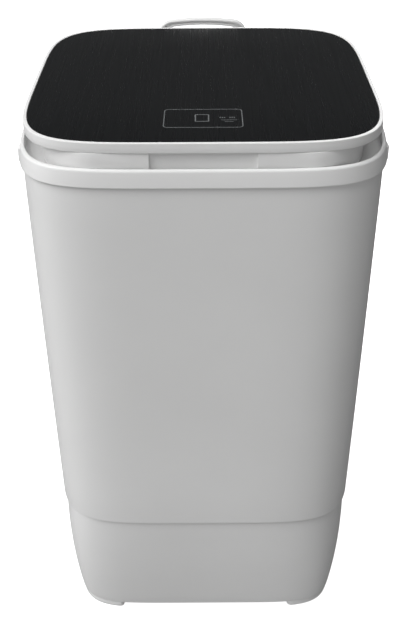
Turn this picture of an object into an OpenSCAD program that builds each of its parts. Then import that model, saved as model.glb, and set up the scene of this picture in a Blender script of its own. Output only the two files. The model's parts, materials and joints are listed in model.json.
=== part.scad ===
// Top load washing machine: a compact single-tub washer with a hinged lid that
// carries a touch panel, a belt-driven pulsator and a gravity drain at the rear.
// It stands on the floor at z = 0 and its front faces -Y. The origin is the centre
// of the whole machine's footprint, so the wash tub's axis lies at y = tub_axis_y.

/* [Body] */
// Height of the lid's top plate above the floor
washer_h = 704; // [660:1:760]
// Half width of the cabinet just under the collar
cabinet_top = 193.5; // [190:0.5:194]
// Half width of the cabinet at its lower edge
cabinet_low = 189; // [186:0.5:190]
// Height of the seam between base and cabinet
seam_z = 193; // [188:1:200]
// Half width of the base at its lower edge
base_half_w = 178; // [168:1:180]
// Half depth of the base at its lower edge
base_half_d = 161.5; // [158:0.5:164]
// How far the base's sides bulge between seam and lower edge
base_bulge = 4; // [2:0.2:6]
// Height of the base's lower edge above the floor
base_z = 12; // [10:1:14]
// Wall thickness of the moulded shells
wall = 2.5; // [2:0.1:3]

/* [Collar] */
// Half width of the collar at its lower edge
collar_half = 196.5; // [196:0.5:198]
// Radius of the loading opening in the collar
mouth_r = 163; // [150:1:164]

/* [Lid] */
// Half width of the black top plate
plate_half = 185; // [180:0.5:186]
// Width of the finger recess in the lid's front edge
recess_w = 107; // [80:1:120]

/* [Rear handle] */
// Width of the carrying handle over its legs
handle_w = 115; // [100:1:120]
// Height of the top of the carrying handle above the floor
handle_z = 710; // [708:0.5:714]

/* [Drive] */
// Radius of the pulsator
pulsator_r = 122; // [100:1:126]
// Radius of the pulley under the tub, at its rim
pulley_r = 75; // [65:1:78]
// Radius of the motor's pulley, at its rim
motor_pulley_r = 23; // [20:1:26]
// Distance of the motor's axis from the tub's axis along X and along Y
motor_offset = 83; // [80:1:86]

/* [Hidden] */
$fn = 72;

steps = 96;               // points round a shell's outline
corner_n = 5.15;          // exponent of the rounded-square outline
base_n = 6.2;             // the base's lower edge has squarer corners
gap = 0.3;                // clearance between separate pieces
eps = 0.6;                // overlap that joins two shapes of one piece
cut = 1;                  // how far a cutting shape runs past what it cuts
screw_r = 1.95;           // shank of the common screws
screw_hole = 2.2;         // clearance hole for that shank
screw_thread = 2.05;      // hole that the shank is screwed into
screw_head = 3.8;

deck_z = washer_h - 37;   // top of the collar's sunken deck
deck_t = 3;               // thickness of that deck
collar_low = washer_h - 44.7;
bead_z = washer_h - 26.2; // top of the collar's rounded bead
bead_in = 190.2;          // inner face of the bead, round the lid

rim_half = plate_half + 4;
rim_low = washer_h - 10.4;
pan_low = deck_z + 1.5;   // underside of the lid
pan_half_w = 165;
pan_front = 187.6;
pan_rear = 172;
pan_corner = 60;
lid_post = 120;           // x and y of the four posts that screw the lid together
lid_post_r = 6;
lid_bore = 1.9;           // hole through those posts
lid_screw_r = 1.8;
recess_d = 2.5;           // depth of the finger recess, which is open at the bottom

hinge_y = 183;
hinge_z = washer_h - 18;
hinge_x = 95;
knuckle_w = 20;
pin_r = 2;

clip_w = 18;              // width, height and depth of the clips on the sides
clip_h = 16;
clip_d = 6.5;

handle_front = 205;
handle_back = 213.5;
handle_screw_z = deck_z + 4;
handle_screw_x = 32;
handle_low = deck_z - 10;
handle_lip = 2.8;         // thickness of the lip on top of the arch
handle_groove = 1.6;      // height of the groove under the lip
tub_axis_y = -(handle_back - collar_half) / 2;

tub_top = deck_z - deck_t - 1.3;
tub_mouth = mouth_r + 5;
tub_low_r = 152;
tub_knee = 268;           // height where the tub's wall turns into its floor
floor_z = 246;            // top of the tub's floor
lug = 140;                // x and y of the four screw lugs round the tub
lug_low = deck_z - 15.5;
lug_t = 3;
flange_w = 14;            // width of the tub's flange
sump_r = 129;             // radius of the tub's flat floor
drain_hole = 12;

shaft_r = 6;
belt_z = 132;             // middle of the belt
belt_h = 7;
belt_t = 6;
motor_z0 = 152;
motor_z1 = 224;
motor_r = 56;
motor_shaft_r = 5;
frame_z = 232.5;          // underside of the steel plate under the tub
frame_t = 3;

drain_x = -75;
drain_y = 70;
drain_z = 60;             // height of the outlet at the rear
drain_r = 13;             // outer radius of the spigot that takes the hose
drain_pipe_r = 14;        // outer radius of the pipe inside the base
drain_bore = 10;
gland_x = 95;
gland_z = 70;
gland_bore = 3.6;
boss_in = 163.5;          // inner and outer face of the bosses in the rear wall
boss_out = 177.5;
drain_end = boss_out + 33;
gland_in = 156;           // inner end of the gland's barrel
gland_r = 9.1;

white = [0.90, 0.90, 0.89];
black = [0.05, 0.05, 0.055];
steel = [0.62, 0.63, 0.65];
rubber = [0.09, 0.09, 0.09];
satin = [0.86, 0.88, 0.90];
alloy = [0.75, 0.76, 0.78];
grey = [0.55, 0.56, 0.58];
bronze = [0.72, 0.52, 0.28];

// ---- outlines -----------------------------------------------------------------

// One point of a rounded-square outline with half sizes hx, hy and exponent n.
function outline_point(hx, hy, n, t) =
    [hx * sign(cos(t)) * pow(abs(cos(t)), 2 / n), hy * sign(sin(t)) * pow(abs(sin(t)), 2 / n)];

// The whole outline at height z, as a ring of 3-D points.
function ring(hx, hy, n, z) =
    [for (i = [0 : steps - 1]) concat(outline_point(hx, hy, n, 360 * (i + 0.5) / steps), z)];

// A square ring of half width a, and a round one of radius r.
function square_ring(a, z) = ring(a, a, corner_n, z);
function round_ring(r, z) = ring(r, r, 2, z);

// The flat version of a ring, for extruding.
function flat(points) = [for (p = points) [p.x, p.y]];

// A rounded rectangle from y0 to y1, half width hx, corner radius r.
function rounded_rect(hx, y0, y1, r, arc = 10) =
    [for (c = [[1, 1, 0], [-1, 1, 90], [-1, -1, 180], [1, -1, 270]]) for (i = [0 : arc])
        let (a = c.z + 90 * i / arc)
        [c.x * (hx - r) + r * cos(a), (c.y > 0 ? y1 - r : y0 + r) + r * sin(a)]];

// Skin through a list of rings. closed joins the last ring to the first, which
// makes a hollow band. Otherwise the first and last rings are capped.
module loft(rings, closed = false) {
    n = len(rings[0]);
    m = len(rings);
    sides = [for (i = [0 : closed ? m - 1 : m - 2]) for (j = [0 : n - 1])
        let (k = (j + 1) % n, up = ((i + 1) % m) * n)
        [i * n + j, up + j, up + k, i * n + k]];
    caps = closed ? [] : [[for (j = [0 : n - 1]) j], [for (j = [n - 1 : -1 : 0]) (m - 1) * n + j]];
    polyhedron(points = [for (r = rings) each r], faces = concat(sides, caps));
}

// Everything is drawn round the tub's axis and moved here to the footprint's centre.
module place() translate([0, tub_axis_y, 0]) children();

// The motor's axis.
module at_motor() translate([motor_offset, motor_offset, 0]) children();

// The four corners of a square pattern.
module corners(x, y) for (sx = [-1, 1]) for (sy = [-1, 1]) translate([sx * x, sy * y, 0]) children();

// Upright tube from z0 to z1.
module tube(r_out, r_in, z0, z1) translate([0, 0, z0]) difference() {
    cylinder(r = r_out, h = z1 - z0);
    translate([0, 0, -1]) cylinder(r = r_in, h = z1 - z0 + 2);
}

// Screw with its head down at z and its shank pointing up.
module screw_up(z, shank_r, length, head_r, head_h) {
    translate([0, 0, z]) cylinder(r = head_r, h = head_h);
    translate([0, 0, z + head_h]) cylinder(r = shank_r, h = length);
}

// ---- base ---------------------------------------------------------------------

base_wall = 3;
seam_step = 3.5;          // how far the base's upper edge stands in from the cabinet
tongue_h = 11;            // how far the base's tongue reaches into the cabinet
tongue_in = 3.4;          // inset of the tongue's outer and inner face
tongue_wall = 6;
lip_w = 22;               // width and thickness of the lip inside the lower edge
lip_h = 4;
cover_t = 2.5;
cover_top = base_z + lip_h + 0.2 + cover_t;
on_cover = cover_top + gap;
slot_w = 5;               // cooling slots in the bottom cover
slot_l = 80;

function base_part(z) = (z - base_z) / (seam_z + base_wall - base_z);
function base_swell(z) = 4 * base_bulge * base_part(z) * (1 - base_part(z));
function base_hx(z) = base_half_w + (cabinet_low - seam_step - base_half_w) * base_part(z) + base_swell(z);
function base_hy(z) = base_half_d + (cabinet_low - seam_step - base_half_d) * base_part(z) + base_swell(z);
function base_ring(z, inset) = ring(base_hx(z) - inset, base_hy(z) - inset,
    base_n + (corner_n - base_n) * base_part(z), z);
base_levels = [for (z = [40 : 30 : 130]) z];

cover_screw = [[100, 145], [0, 147], [-100, 145], [-100, -145], [0, -147], [100, -145]];

// Lower moulding, open at the top, with a tongue that stands inside the cabinet
// and a lip inside its lower edge that the bottom cover lies on.
module base_shell() place() color(white) difference() {
    union() {
        base_walls();
        rear_boss(drain_x, drain_z, 22);
        rear_boss(gland_x, gland_z, 16);
    }
    for (p = cover_screw) translate([p.x, p.y, base_z - cut]) cylinder(r = screw_hole, h = lip_h + 2 * cut);
    translate([drain_x, boss_in - cut, drain_z]) rotate([-90, 0, 0])
        cylinder(r = drain_pipe_r + 2 * gap, h = boss_out - boss_in + 2 * cut);
    translate([gland_x, boss_in - cut, gland_z]) rotate([-90, 0, 0])
        cylinder(r = gland_r + gap, h = boss_out - boss_in + 2 * cut);
}

// Flat-faced round boss in the base's rear wall.
module rear_boss(x, z, r) translate([x, boss_in, z]) rotate([-90, 0, 0])
    cylinder(r = r, h = boss_out - boss_in);

module base_walls()
    loft(concat(
        [base_ring(base_z, 1.4), base_ring(base_z + 0.5, 0.5), base_ring(base_z + 1.6, 0)],
        [for (z = base_levels) base_ring(z, 0)],
        [base_ring(160, 0), base_ring(seam_z - 0.5, 0), base_ring(seam_z - 0.5, tongue_in),
         base_ring(seam_z + tongue_h, tongue_in), base_ring(seam_z + tongue_h, tongue_wall),
         base_ring(seam_z - 5, tongue_wall), base_ring(seam_z - 12, base_wall)],
        [for (i = [len(base_levels) - 1 : -1 : 0]) base_ring(base_levels[i], base_wall)],
        [base_ring(base_z + lip_h, base_wall), base_ring(base_z + lip_h, lip_w), base_ring(base_z, lip_w)]),
        true);

// Flat plate inside the base's lip, with rows of cooling slots.
module bottom_cover() place() color(grey) difference() {
    translate([0, 0, cover_top - cover_t]) linear_extrude(cover_t)
        polygon(flat(base_ring(base_z + lip_h, base_wall + 1.5)));
    for (p = cover_screw) translate([p.x, p.y, base_z]) cylinder(r = screw_hole, h = cover_top);
    for (x = [-60 : 3 * slot_w : 60]) translate([x - slot_w / 2, -slot_l / 2, base_z])
        cube([slot_w, slot_l, cover_top]);
}

module cover_screws() place() color(steel)
    for (p = cover_screw) translate([p.x, p.y, 0]) screw_up(base_z - 2.6, screw_r, 12, screw_head, 2.4);

// Corner foot under the base: a block whose outer side follows the base's outline,
// with its upright edges and its lower rim rounded.
foot_out = 1;             // how far it stands out past the base's lower edge
foot_x = 113;             // inner ends of the foot, along X and along Y
foot_y = 104;
foot_round = 5;
foot_low = 0.9;
foot_high = base_z - 0.3;
foot_hx = base_half_w + foot_out;
foot_hy = base_half_d + foot_out;
function foot_edge(a, b, v) = b * pow(1 - pow(v / a, base_n), 1 / base_n);
function foot_turn(c, r, a0) = [for (i = [0 : 4]) c + r * [cos(a0 + 22.5 * i), sin(a0 + 22.5 * i)]];
foot_t0 = 90 - acos(pow((foot_y + foot_round) / foot_hy, base_n / 2));
foot_t1 = acos(pow((foot_x + foot_round) / foot_hx, base_n / 2));
foot_outline = concat(
    foot_turn([foot_edge(foot_hy, foot_hx, foot_y + foot_round) - foot_round, foot_y + foot_round],
        foot_round, -90),
    [for (i = [1 : 13]) outline_point(foot_hx, foot_hy, base_n, foot_t0 + (foot_t1 - foot_t0) * i / 14)],
    foot_turn([foot_x + foot_round, foot_edge(foot_hx, foot_hy, foot_x + foot_round) - foot_round],
        foot_round, 90),
    foot_turn([foot_x + foot_round, foot_y + foot_round], foot_round, 180));
foot_mid = [(foot_x + foot_hx) / 2, (foot_y + foot_hy) / 2];
function foot_ring(z, scale) = [for (p = foot_outline) concat(foot_mid + scale * (p - foot_mid), z)];
module foot(sx, sy) place() color(white)
    mirror([sx < 0 ? 1 : 0, 0, 0]) mirror([0, sy < 0 ? 1 : 0, 0])
    loft([foot_ring(foot_low, 0.90), foot_ring(foot_low + 0.6, 0.94), foot_ring(foot_low + 2, 0.98),
          foot_ring(foot_low + 3.8, 1), foot_ring(foot_high - 1.4, 1), foot_ring(foot_high, 0.98)]);
module foot_front_left() foot(-1, -1);
module foot_front_right() foot(1, -1);
module foot_rear_left() foot(-1, 1);
module foot_rear_right() foot(1, 1);

module foot_pads() place() color(rubber) corners(146, 133) cylinder(r = 8, h = 0.8);

// ---- cabinet and collar ---------------------------------------------------------

function cabinet_half(z) = cabinet_low + (cabinet_top - cabinet_low) * (z - seam_z)
    / (collar_low - seam_z) + 0.5 * sin(180 * (z - seam_z) / (collar_low - seam_z));
function cabinet_ring(z, inset) = square_ring(cabinet_half(z) - inset, z);

module cabinet_shell() place() color(white)
    loft([cabinet_ring(seam_z, 0.7), cabinet_ring(seam_z + 0.6, 0.1), cabinet_ring(seam_z + 1.6, 0),
          cabinet_ring(310, 0), cabinet_ring(430, 0), cabinet_ring(550, 0),
          cabinet_ring(collar_low, 0), cabinet_ring(deck_z - deck_t - 0.4, 0.2),
          cabinet_ring(deck_z - deck_t - 0.4, wall), cabinet_ring(550, wall),
          cabinet_ring(430, wall), cabinet_ring(310, wall), cabinet_ring(seam_z, wall)], true);

post_r = 6.5;             // posts under the deck that take the tub's screws
post_low = deck_z - 12;
spout_low = deck_z - 15;

// Top frame: outer skirt with a rounded bead, sunken deck and a spout lip that
// reaches into the tub's mouth. Posts under the deck take the tub's screws.
module collar() place() color(white) {
    skirt_in = cabinet_top + 0.8;
    difference() {
        union() {
            loft([square_ring(skirt_in, collar_low), square_ring(collar_half - 0.5, collar_low),
                  square_ring(collar_half, collar_low + 0.8), square_ring(collar_half - 1.7, bead_z - 5),
                  square_ring(collar_half - 2.2, bead_z - 2.6), square_ring(collar_half - 2.9, bead_z - 1),
                  square_ring(collar_half - 3.8, bead_z - 0.2), square_ring(collar_half - 4.8, bead_z),
                  square_ring(bead_in + 0.9, bead_z - 0.5), square_ring(bead_in + 0.2, bead_z - 1.6),
                  square_ring(bead_in, bead_z - 3), square_ring(bead_in, deck_z),
                  round_ring(mouth_r + 2, deck_z), round_ring(mouth_r + 0.6, deck_z - 0.5),
                  round_ring(mouth_r, deck_z - 2), round_ring(mouth_r, spout_low),
                  round_ring(mouth_r + wall, spout_low), round_ring(mouth_r + wall, deck_z - deck_t),
                  square_ring(skirt_in, deck_z - deck_t)], true);
            corners(lug, lug) translate([0, 0, post_low]) cylinder(r = post_r, h = 12 - deck_t + eps);
        }
        corners(lug, lug) translate([0, 0, post_low - cut]) cylinder(r = screw_thread, h = 11.5);
        handle_fixings() translate([0, 0, 0.6]) cylinder(r = screw_thread, h = 10);
    }
}

// Rounded clip on each side that locks the collar's skirt onto the cabinet.
module collar_clip(side) place() color(white) mirror([side < 0 ? 1 : 0, 0, 0])
    translate([cabinet_top + gap, -86, collar_low - 2 * gap - clip_h]) linear_extrude(clip_h)
    hull() {
        translate([0, -clip_w / 2]) square([1, clip_w]);
        for (s = [-1, 1]) translate([clip_d - 3, s * (clip_w / 2 - 4)]) circle(r = 3);
    }
module collar_clip_left() collar_clip(-1);
module collar_clip_right() collar_clip(1);

// ---- rear handle ----------------------------------------------------------------

// Arch of half width hw and top z, with rounded shoulders, as points in X and Z.
function arch(hw, top, low, r, crown) = concat(
    [[hw, low]],
    [for (i = [0 : 8]) let (a = 90 * i / 8)
        [hw - r + r * cos(a), top - crown - r + r * sin(a)]],
    [for (i = [1 : 7]) let (x = (hw - r) * (1 - i / 4))
        [x, top - crown * pow(x / (hw - r), 2)]],
    [for (i = [8 : -1 : 0]) let (a = 90 * i / 8)
        [-(hw - r + r * cos(a)), top - crown - r + r * sin(a)]],
    [[-hw, low]]);

shoulder = 19;            // radius of the arch's shoulders
crown = 2.2;              // how far the arch rises between them

module arch_band(hw, top, thick, low, y0, y1) translate([0, y1, 0]) rotate([90, 0, 0])
    linear_extrude(y1 - y0) difference() {
        polygon(arch(hw, top, low, shoulder, crown));
        polygon(arch(hw - thick - 1, top - thick, low - cut, shoulder - 4, crown - 0.2));
    }

// The handle's two screws, pointing backwards out of the collar's bead.
module handle_fixings() for (s = [-1, 1])
    translate([s * handle_screw_x, bead_in, handle_screw_z]) rotate([-90, 0, 0]) children();

// Arched loop with a lip on top, a shallow groove under the lip, and two legs that a
// bar joins where the screws go in.
module rear_handle() place() color(white) difference() {
    half = handle_w / 2;
    bar_y = collar_half + 1;
    union() {
        arch_band(half, handle_z, handle_lip, handle_low, handle_front - 1.4, handle_back);
        arch_band(half - 1.5, handle_z - 1.5, 6.2, handle_low, handle_front, handle_back - 1.5);
        translate([-half + 1, bar_y, handle_screw_z - 6]) cube([handle_w - 2, 4, 12]);
        for (s = [-1, 1]) translate([s * (half - 4.5) - 3.5, bar_y, handle_low])
            cube([7, handle_back - bar_y - 1.5, 20]);
    }
    arch_band(half - handle_lip, handle_z - handle_lip, handle_groove, deck_z + 11,
              handle_front - 2, handle_front + 3);
    handle_fixings() cylinder(r = screw_hole, h = 20);
}

module handle_screws() place() color(steel) handle_fixings() {
    translate([0, 0, 0.8]) cylinder(r = screw_r, h = 10);
    translate([0, 0, collar_half + 5.2 - bead_in]) cylinder(r = screw_head, h = 2.2);
}

// ---- tub ------------------------------------------------------------------------

// Round wash tub with a flange at its mouth, four screw lugs and a sunken floor.
module wash_tub() place() color(satin) difference() {
    union() {
        rotate_extrude() polygon([
            [tub_mouth, tub_top], [tub_mouth, tub_top - 14], [tub_low_r, tub_knee],
            [tub_low_r - 4, tub_knee - 6], [sump_r + 5, 260], [sump_r + 1, 256], [sump_r, floor_z + 2],
            [sump_r - 2, floor_z], [19, floor_z], [19, floor_z - 3], [sump_r - 1, floor_z - 3],
            [sump_r + 3, floor_z], [sump_r + 4, 254], [sump_r + 7, 257], [tub_low_r - 1, tub_knee - 8],
            [tub_low_r + wall, tub_knee - 1], [tub_mouth + wall, tub_top - 14],
            [tub_mouth + wall, tub_top - wall], [tub_mouth + flange_w, tub_top - wall],
            [tub_mouth + flange_w, tub_top]]);
        for (a = [45 : 90 : 315]) rotate(a) translate([tub_mouth + 1, -7, lug_low])
            cube([lug * sqrt(2) - tub_mouth, 14, lug_t]);
        corners(lug, lug) translate([0, 0, lug_low]) cylinder(r = 8, h = lug_t);
        frame_fixings() translate([0, 0, frame_z + frame_t + gap])
            cylinder(r = 7, h = floor_z - 2 - frame_z - frame_t);
    }
    corners(lug, lug) translate([0, 0, lug_low - cut]) cylinder(r = screw_hole, h = 6);
    frame_fixings() translate([0, 0, frame_z + frame_t]) cylinder(r = screw_thread, h = 8.5);
    translate([drain_x, drain_y, floor_z - 5]) cylinder(r = drain_hole, h = 8);
}

module tub_gasket() place() color(rubber)
    tube(tub_mouth + flange_w - 2, tub_mouth + 1, tub_top + 0.1, tub_top + 1.2);

module tub_screws() place() color(steel)
    corners(lug, lug) screw_up(lug_low - 2.7, screw_r, 10.5, 4.2, 2.6);

filter_x = -155;          // the cartridge: its back, half width, foot and height
filter_half = 30;
filter_z = 430;
filter_h = 120;
filter_rim = 4;
bar_t = 2;

// Lint cartridge on the tub's left wall: a frame with bars over its net window.
module lint_filter() place() color([0.42, 0.62, 0.75]) {
    difference() {
        translate([filter_x, -filter_half, filter_z]) cube([13, 2 * filter_half, filter_h]);
        translate([filter_x + filter_rim, filter_rim - filter_half, filter_z + 2 * filter_rim])
            cube([20, 2 * (filter_half - filter_rim), filter_h - 4 * filter_rim]);
    }
    for (y = [-19 : 9.5 : 19]) translate([filter_x + 9, y - bar_t / 2, filter_z + 7])
        cube([2.4, bar_t, filter_h - 14]);
    for (z = [filter_z + 30 : 20 : filter_z + 90]) translate([filter_x + 9, 3 - filter_half, z])
        cube([2.4, 2 * filter_half - 6, bar_t]);
}

module drain_grille() place() color(satin)
    translate([drain_x, drain_y, floor_z + 0.2]) difference() {
        cylinder(r = 16, h = 1.8);
        for (x = [-9 : 4.5 : 9]) translate([x - 1, -10, -1]) cube([2, 20, 5]);
    }

// Elbow screwed under the tub's drain hole.
module drain_elbow() place() color(grey) translate([drain_x, drain_y, 0]) {
    tube(22, drain_hole - 1, floor_z - 6.5, floor_z - 3.3);
    tube(drain_pipe_r, drain_hole - 1, 195, floor_z - 6);
}

hose_r = 17;
hose_bore = drain_pipe_r + 0.2;
hose_top = 215;
hose_run = 86;

// Internal hose: down from the elbow, then back to the outlet.
module drain_hose_inner() place() color(rubber) translate([drain_x, drain_y, drain_z]) difference() {
    hose_path(hose_r, 0);
    hose_path(hose_bore, 4);
}

// A hose's volume of radius r, run past both of its ends.
module hose_path(r, past) {
    cylinder(r = r, h = hose_top - drain_z + past);
    sphere(r = r);
    rotate([-90, 0, 0]) cylinder(r = r, h = hose_run + past);
}

// Pipe through the base's rear wall, with a flange and a spigot that a hose pushes onto.
module drain_outlet() place() color(grey) translate([drain_x, 0, drain_z]) rotate([-90, 0, 0]) {
    tube(drain_pipe_r, drain_bore, 140, boss_out + 1);
    tube(19, drain_bore, boss_out + gap, boss_out + 3.3);
    tube(drain_r, drain_bore, boss_out + 3, drain_end);
}

// ---- pulsator drive ---------------------------------------------------------------

bearing_r = 12;           // bore that the bushes sit in
bush_r = bearing_r - 0.05;
bush_h = 24;
housing_low = 150;
housing_high = floor_z + 3;

// Flanged housing under the tub, with a spigot that fills the hole in its floor.
module bearing_housing() place() color([0.70, 0.71, 0.72]) rotate_extrude() polygon([
    [bearing_r, housing_low], [20, housing_low], [22, housing_low + 6], [22, frame_z + frame_t + gap],
    [48, frame_z + frame_t + gap], [48, floor_z - 3 - gap],
    [18.6, floor_z - 3 - gap], [18.6, housing_high], [bearing_r, housing_high]]);

module bush(z) place() color(bronze) tube(bush_r, shaft_r + 0.05, z, z + bush_h);
module upper_bush() bush(214);
module lower_bush() bush(housing_low + 2);
module shaft_seal() place() color(rubber) tube(bearing_r - 0.1, shaft_r + 0.08, 240, 247);

shaft_low = 108;
shaft_top = 263;
hub_top = 284;            // top of the pulsator's hub
hub_pocket = 272;         // floor of the pocket that the cap closes
pocket_r = 15;
vane_step = 15;

module pulsator_shaft() place() color(steel) {
    translate([0, 0, shaft_low]) cylinder(r = shaft_r, h = shaft_top - shaft_low);
}

// Low disc with six curved vanes that stirs the wash.
module pulsator() place() color(white) difference() {
    union() {
        rotate_extrude() polygon([
            [0, 250.5], [pocket_r, 250.5], [pocket_r + 1, 254], [pulsator_r - 6, 254], [pulsator_r, 256.5],
            [pulsator_r, 259], [pulsator_r - 8, 261], [60, 266], [30, 278], [22, hub_top], [0, hub_top]]);
        for (a = [0 : 60 : 300]) rotate(a) for (i = [0 : 5]) rotate(2.2 * i)
            translate([24 + vane_step * i, -4, 258]) cube([vane_step + eps, 8, 30 - 3.6 * i]);
    }
    translate([0, 0, 240]) cylinder(r = shaft_r + 0.03, h = shaft_top + 0.2 - 240);
    translate([0, 0, shaft_top - 1]) cylinder(r = 2.6, h = 30);
    translate([0, 0, hub_pocket]) cylinder(r = pocket_r, h = 20);
}

module pulsator_cap() place() color(grey) difference() {
    rotate_extrude() polygon([
        [0, 278.5], [pocket_r - 0.5, 278.5], [pocket_r - 0.5, hub_top + 2], [12, hub_top + 6],
        [6, hub_top + 8], [0, hub_top + 8.4]]);
    translate([0, 0, 270]) cylinder(r = 11, h = 16);
}

module pulsator_screw() place() color(steel) {
    translate([0, 0, shaft_top + gap]) cylinder(r = 2.5, h = 9.2);
    translate([0, 0, hub_pocket + 0.1]) cylinder(r = 6, h = 4);
}

groove_d = 5.5;           // depth of the groove that the belt runs in
pulley_half = 8;          // half height of a pulley's rim
pulley_low = 119.5;
belt_clear = 0.3;         // how far the belt stands clear of the grooves

// Pulley with a groove whose middle is at belt_z.
module grooved_pulley(rim, hub_r, hub_z0, hub_z1, bore) difference() {
    union() {
        rotate_extrude() polygon([
            [0, belt_z - pulley_half], [rim, belt_z - pulley_half], [rim, belt_z - belt_h / 2 - 0.6],
            [rim - groove_d, belt_z - belt_h / 2 - 0.3], [rim - groove_d, belt_z + belt_h / 2 + 0.3],
            [rim, belt_z + belt_h / 2 + 0.6], [rim, belt_z + pulley_half], [0, belt_z + pulley_half]]);
        translate([0, 0, hub_z0]) cylinder(r = hub_r, h = hub_z1 - hub_z0);
    }
    translate([0, 0, hub_z0 - 1]) cylinder(r = bore, h = hub_z1 - hub_z0 + 2);
}

module drive_pulley() place() color(alloy) difference() {
    grooved_pulley(pulley_r, 15, pulley_low, 146, shaft_r + 0.03);
    for (a = [0 : 60 : 300]) rotate(a) translate([41, 0, pulley_low]) cylinder(r = 13, h = 30);
}

module pulley_nut() place() color(steel) difference() {
    translate([0, 0, 112]) cylinder(r = 10, h = pulley_low - gap - 112, $fn = 6);
    translate([0, 0, 112 - cut]) cylinder(r = shaft_r + 0.03, h = 10);
}

// Belt round both pulleys, standing just clear of their grooves.
module drive_belt() place() color(rubber) translate([0, 0, belt_z - belt_h / 2]) linear_extrude(belt_h)
    difference() {
        belt_loop(belt_t);
        belt_loop(0);
    }
module belt_loop(extra) hull() {
    circle(r = pulley_r - groove_d + belt_clear + extra, $fn = 96);
    translate([motor_offset, motor_offset])
        circle(r = motor_pulley_r - groove_d + belt_clear + extra, $fn = 48);
}

// ---- motor ------------------------------------------------------------------------

// The plate's four fixings to the bosses under the tub.
module frame_fixings() for (a = [0 : 90 : 270]) rotate(a) translate([90, 0, 0]) children();

frame_r = 105;
frame_hole = 22.6;        // hole round the bearing housing

// Pressed steel plate under the tub that clamps the bearing housing and carries
// the motor.
module support_frame() place() color(steel) difference() {
    translate([0, 0, frame_z]) union() {
        cylinder(r = frame_r, h = frame_t);
        at_motor() cylinder(r = 72, h = frame_t);
    }
    translate([0, 0, frame_z - cut]) cylinder(r = frame_hole, h = frame_t + 2 * cut);
    frame_fixings() translate([0, 0, frame_z - cut]) cylinder(r = screw_hole, h = frame_t + 2 * cut);
    at_motor() motor_pattern() translate([0, 0, frame_z - cut]) cylinder(r = 3.2, h = frame_t + 2 * cut);
    translate([drain_x, drain_y, frame_z - cut]) cylinder(r = 25, h = frame_t + 2 * cut);
}

module frame_screws() place() color(steel) frame_fixings() difference() {
    screw_up(frame_z - 3.1, screw_r, 10.5, 4.5, 2.8);
    translate([-3, -0.5, frame_z - 3.2]) cube([6, 1, 1.2]);
}

motor_wall = 3;
motor_ear = 7;            // radius of the ears that the screws pass through
ear_h = 6;
core_low = 172;           // the stator's and the rotor's laminations
core_h = 36;
rotor_r = 35.4;

// The motor's four fixings, on a circle just outside its housing.
module motor_pattern() for (a = [0 : 90 : 270]) rotate(a)
    translate([motor_r + motor_ear, 0, 0]) children();

module motor_housing() place() color([0.30, 0.31, 0.33]) at_motor() difference() {
    union() {
        translate([0, 0, motor_z0]) cylinder(r = motor_r, h = motor_z1 - motor_z0);
        motor_pattern() translate([0, 0, motor_z1 - ear_h]) cylinder(r = motor_ear, h = ear_h);
        for (a = [0 : 90 : 270]) rotate(a) translate([motor_r - 2, -motor_ear, motor_z1 - ear_h])
            cube([motor_ear + 2, 2 * motor_ear, ear_h]);
    }
    translate([0, 0, motor_z0 - cut])
        cylinder(r = motor_r - motor_wall, h = motor_z1 - motor_z0 - motor_wall + cut);
    translate([0, 0, motor_z1 - 8]) cylinder(r = motor_shaft_r + 0.05, h = 12);
    motor_pattern() translate([0, 0, motor_z1 - 8]) cylinder(r = 2.6, h = 12);
    for (a = [22.5 : 45 : 337.5]) rotate(a) translate([motor_r - 6, -3, motor_z0 + 16]) cube([10, 6, 40]);
}

module motor_end_bell() place() color([0.30, 0.31, 0.33]) at_motor() difference() {
    union() {
        translate([0, 0, motor_z0 - motor_wall - gap]) cylinder(r = motor_r, h = motor_wall);
        translate([0, 0, motor_z0 - 0.6]) cylinder(r = 10, h = 5);
    }
    translate([0, 0, motor_z0 - 5]) cylinder(r = motor_shaft_r + 0.05, h = 12);
}

module motor_stator() place() color([0.60, 0.35, 0.20]) at_motor() difference() {
    translate([0, 0, core_low]) cylinder(r = motor_r - motor_wall - gap, h = core_h);
    translate([0, 0, core_low - cut]) cylinder(r = rotor_r + 0.6, h = core_h + 2 * cut);
    for (a = [0 : 30 : 330]) rotate(a) translate([rotor_r + 2.6, -2.5, core_low - cut])
        cube([8, 5, core_h + 2 * cut]);
}

module motor_mounts() place() color(rubber) at_motor() motor_pattern()
    tube(motor_ear, 3.1, motor_z1 + 0.2, frame_z - 0.2);

module motor_screws() place() color(steel) at_motor() motor_pattern() {
    screw_up(motor_z1 - ear_h - 4.3, 2.4, 25, 5, 3.8);
    translate([0, 0, frame_z + frame_t + 0.2]) cylinder(r = 5.5, h = 4, $fn = 6);
}

rotor_low = 118;          // lower end of the motor's shaft

module rotor_shaft() place() color(steel) at_motor() {
    translate([0, 0, rotor_low]) cylinder(r = motor_shaft_r, h = motor_z1 + 3 - rotor_low);
}

module rotor_core() place() color(grey) at_motor()
    tube(rotor_r, motor_shaft_r + 0.03, core_low, core_low + core_h);

module motor_pulley() place() color(alloy) at_motor()
    grooved_pulley(motor_pulley_r, 10, 121, 144, motor_shaft_r + 0.03);

fan_z = 159;

module motor_fan() place() color(black) at_motor() {
    tube(9, motor_shaft_r + 0.03, fan_z, fan_z + 8);
    for (a = [0 : 45 : 315]) rotate(a) translate([8.5, -1, fan_z + 0.5]) cube([26, 2, 7]);
    tube(36, 33, fan_z + 0.5, fan_z + 2.5);
}

// ---- electrics --------------------------------------------------------------------

cap_at = [-112, -70];
cap_r = 20;
cap_h = 72;
clamp_t = 2;
clamp_h = 14;
clamp_z = 45;

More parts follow.
